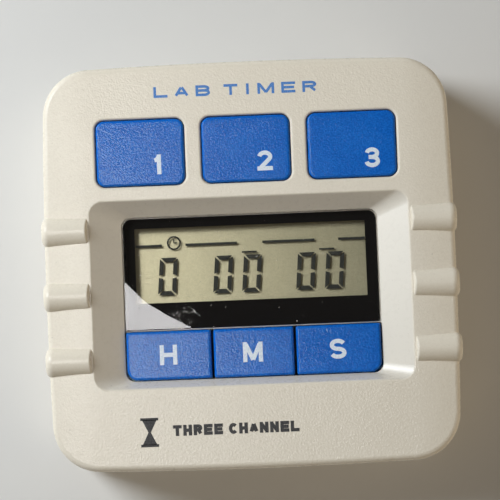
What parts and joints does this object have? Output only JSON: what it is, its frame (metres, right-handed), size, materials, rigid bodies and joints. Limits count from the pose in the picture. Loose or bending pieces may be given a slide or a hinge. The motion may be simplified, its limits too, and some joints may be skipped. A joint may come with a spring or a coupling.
{
  "type": "lab timer",
  "caption": "Square desktop timer with a sunk display, blue channel and time-setting keys, grip ribs, a fold-out stand, a back magnet and a sliding battery door.",
  "frame": {"origin": "centre of the flat back, on the surface that the timer lies on", "axes": "+Z out of the display, +Y towards the top edge, +X to the right of someone who reads the display"},
  "size_m": [0.0698, 0.0684, 0.0191],
  "materials": {
    "case_plastic": "fine spark-eroded grain, moulded ABS",
    "key_plastic": "leather-like grain, moulded ABS",
    "window_plastic": "polished clear acrylic",
    "black_film": "black bonding film",
    "display_glass": "polished glass",
    "display_film": "satin film",
    "reflector_film": "satin greenish grey film",
    "white_plastic": "moulded",
    "silicone": "matte silicone",
    "carbon_rubber": "matte conductive silicone",
    "circuit_board": "solder mask on glass laminate",
    "gold_contact": "gold flash",
    "epoxy": "black epoxy",
    "steel": "bright",
    "nickel_steel": "nickel plated",
    "ceramic_chip": "fired",
    "ferrite": "sintered",
    "copper_wire": "enamelled copper",
    "sounder_brass": "rolled",
    "white_ceramic": "silvered ceramic",
    "cell_sleeve": "shrunk film",
    "paper_label": "blank laminated paper",
    "elastomer": "layered silicone"
  },
  "bodies": {
    "housing": {"front_case": "case_plastic", "rear_cover": "case_plastic", "display_window": "window_plastic", "window_mask": "black_film", "lcd_polariser": "display_film", "lcd_front_glass": "display_glass", "lcd_rear_glass": "display_glass", "lcd_reflector": "reflector_film", "lcd_holder": "white_plastic", "zebra_strip": "elastomer", "upper_keypad_mat": "silicone", "lower_keypad_mat": "silicone", "carbon_pills": "carbon_rubber", "key_contact_pads": "gold_contact", "main_board": "circuit_board", "chip_cap": "epoxy", "quartz_crystal": "nickel_steel", "chip_components": "ceramic_chip", "boost_coil_core": "ferrite", "boost_coil_winding": "copper_wire", "drive_transistor": "epoxy", "storage_capacitor": "steel", "sounder_plate": "sounder_brass", "sounder_ceramic": "white_ceramic", "sounder_springs": "nickel_steel", "battery_can": "nickel_steel", "battery_wrap": "cell_sleeve", "battery_plus_contact": "nickel_steel", "battery_minus_contact": "nickel_steel", "battery_minus_spring": "nickel_steel", "magnet": "ferrite", "serial_label": "paper_label", "case_screws": "steel", "board_screws": "steel"},
    "key_channel_1": {"key_channel_1": "key_plastic"},
    "key_channel_2": {"key_channel_2": "key_plastic"},
    "key_channel_3": {"key_channel_3": "key_plastic"},
    "key_hours": {"key_hours": "key_plastic"},
    "key_minutes": {"key_minutes": "key_plastic"},
    "key_seconds": {"key_seconds": "key_plastic"},
    "battery_door": {"battery_door": "case_plastic"},
    "stand": {"stand": "case_plastic"}
  },
  "joints": [
    {"name": "key_channel_1_press", "type": "slide", "parent": "housing", "child": "key_channel_1", "axis": [0, 0, -1], "range_m": [0, 0.0008], "stiffness_N_per_m": 1200, "deforming": ["upper_keypad_mat"]},
    {"name": "key_channel_2_press", "type": "slide", "parent": "housing", "child": "key_channel_2", "axis": [0, 0, -1], "range_m": [0, 0.0008], "stiffness_N_per_m": 1200, "deforming": ["upper_keypad_mat"]},
    {"name": "key_channel_3_press", "type": "slide", "parent": "housing", "child": "key_channel_3", "axis": [0, 0, -1], "range_m": [0, 0.0008], "stiffness_N_per_m": 1200, "deforming": ["upper_keypad_mat"]},
    {"name": "key_hours_press", "type": "slide", "parent": "housing", "child": "key_hours", "axis": [0, 0, -1], "range_m": [0, 0.0008], "stiffness_N_per_m": 1200, "deforming": ["lower_keypad_mat"]},
    {"name": "key_minutes_press", "type": "slide", "parent": "housing", "child": "key_minutes", "axis": [0, 0, -1], "range_m": [0, 0.0008], "stiffness_N_per_m": 1200, "deforming": ["lower_keypad_mat"]},
    {"name": "key_seconds_press", "type": "slide", "parent": "housing", "child": "key_seconds", "axis": [0, 0, -1], "range_m": [0, 0.0008], "stiffness_N_per_m": 1200, "deforming": ["lower_keypad_mat"]},
    {"name": "battery_door_slide", "type": "slide", "parent": "housing", "child": "battery_door", "axis": [0, -1, 0], "range_m": [0, 0.016]},
    {"name": "stand_hinge", "type": "hinge", "parent": "housing", "child": "stand", "pos_m": [0, 0.0216, 0.0016], "axis": [1, 0, 0], "range_deg": [0, 60]}
  ]
}
